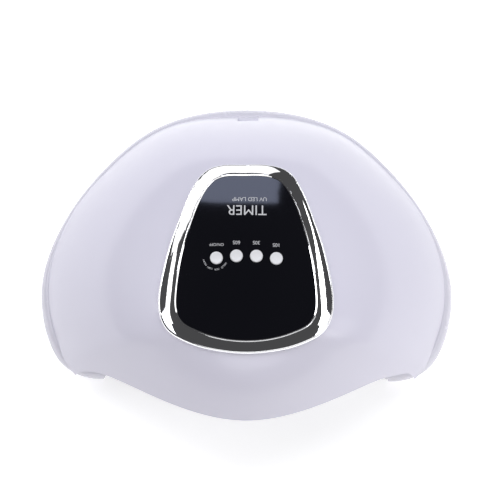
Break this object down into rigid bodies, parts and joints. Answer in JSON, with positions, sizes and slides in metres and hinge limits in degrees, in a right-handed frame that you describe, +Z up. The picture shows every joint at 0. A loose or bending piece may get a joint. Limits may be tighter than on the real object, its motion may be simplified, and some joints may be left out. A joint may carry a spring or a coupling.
{
  "type": "uv curing lamp",
  "caption": "Table-top curing lamp: domed shell with a front visor over an arched hand cavity, framed dark control panel with round buttons, plinth and loose floor plate.",
  "frame": {"origin": "centre of the footprint, on the surface the lamp stands on", "axes": "+Z up, +Y to the rear where the power inlet is, -Y to the hand opening, +X to the right looking along +Y"},
  "size_m": [0.2494, 0.1995, 0.0978],
  "materials": {
    "shell_plastic": "pale lilac-white moulded ABS, semi-gloss",
    "plinth_plastic": "pale lilac-white moulded ABS, satin",
    "reflector_plastic": "white moulded plastic, bright",
    "chrome": "chromed plastic, mirror bright",
    "black_panel": "black tinted acrylic, polished",
    "button_white": "white moulded plastic",
    "black_plastic": "black moulded plastic, fine texture",
    "circuit_green": "green solder mask",
    "component_mix": "black and dark electronic parts",
    "board_white": "aluminium core board, white solder mask",
    "lamp_lens": "clear silicone over yellow phosphor",
    "sensor_lens": "dark infrared lens",
    "steel": "zinc-plated steel",
    "magnet_nickel": "nickel-plated magnet",
    "rubber": "soft rubber",
    "brass": "nickel-flashed brass",
    "lead_insulation": "white PVC insulation",
    "tray_plastic": "white moulded plastic"
  },
  "bodies": {
    "floor_plate": {"base_tray": "tray_plastic", "tray_magnets": "magnet_nickel"},
    "lamp": {"upper_shell": "shell_plastic", "lower_housing": "plinth_plastic", "inner_reflector": "reflector_plastic", "chrome_bezel": "chrome", "display_window": "black_panel", "panel_carrier": "black_plastic", "control_board": "circuit_green", "tact_switches": "component_mix", "digit_display": "black_panel", "board_components": "component_mix", "led_board_ceiling": "board_white", "led_board_left": "board_white", "led_board_right": "board_white", "led_board_rear": "board_white", "ceiling_leds": "lamp_lens", "left_leds": "lamp_lens", "right_leds": "lamp_lens", "rear_leds": "lamp_lens", "power_lead": "black_plastic", "lamp_leads": "lead_insulation", "hand_sensor": "sensor_lens", "dc_jack_body": "black_plastic", "dc_jack_pin": "brass", "housing_magnets": "magnet_nickel", "rubber_feet": "rubber", "housing_screws": "steel", "board_screws": "steel", "panel_screws": "steel", "reflector_screws": "steel"},
    "button_on_off": {"button_on_off": "button_white"},
    "button_60s": {"button_60s": "button_white"},
    "button_30s": {"button_30s": "button_white"},
    "button_10s": {"button_10s": "button_white"}
  },
  "joints": [
    {"name": "lamp_lift", "type": "slide", "parent": "floor_plate", "child": "lamp", "axis": [0, 0, 1], "range_m": [0, 0.06]},
    {"name": "button_on_off_press", "type": "slide", "parent": "lamp", "child": "button_on_off", "axis": [0, 0, -1], "range_m": [0, 0.0008], "stiffness_N_per_m": 400, "springref_m": -0.0006},
    {"name": "button_60s_press", "type": "slide", "parent": "lamp", "child": "button_60s", "axis": [0, 0, -1], "range_m": [0, 0.0008], "stiffness_N_per_m": 400, "springref_m": -0.0006},
    {"name": "button_30s_press", "type": "slide", "parent": "lamp", "child": "button_30s", "axis": [0, 0, -1], "range_m": [0, 0.0008], "stiffness_N_per_m": 400, "springref_m": -0.0006},
    {"name": "button_10s_press", "type": "slide", "parent": "lamp", "child": "button_10s", "axis": [0, 0, -1], "range_m": [0, 0.0008], "stiffness_N_per_m": 400, "springref_m": -0.0006}
  ]
}
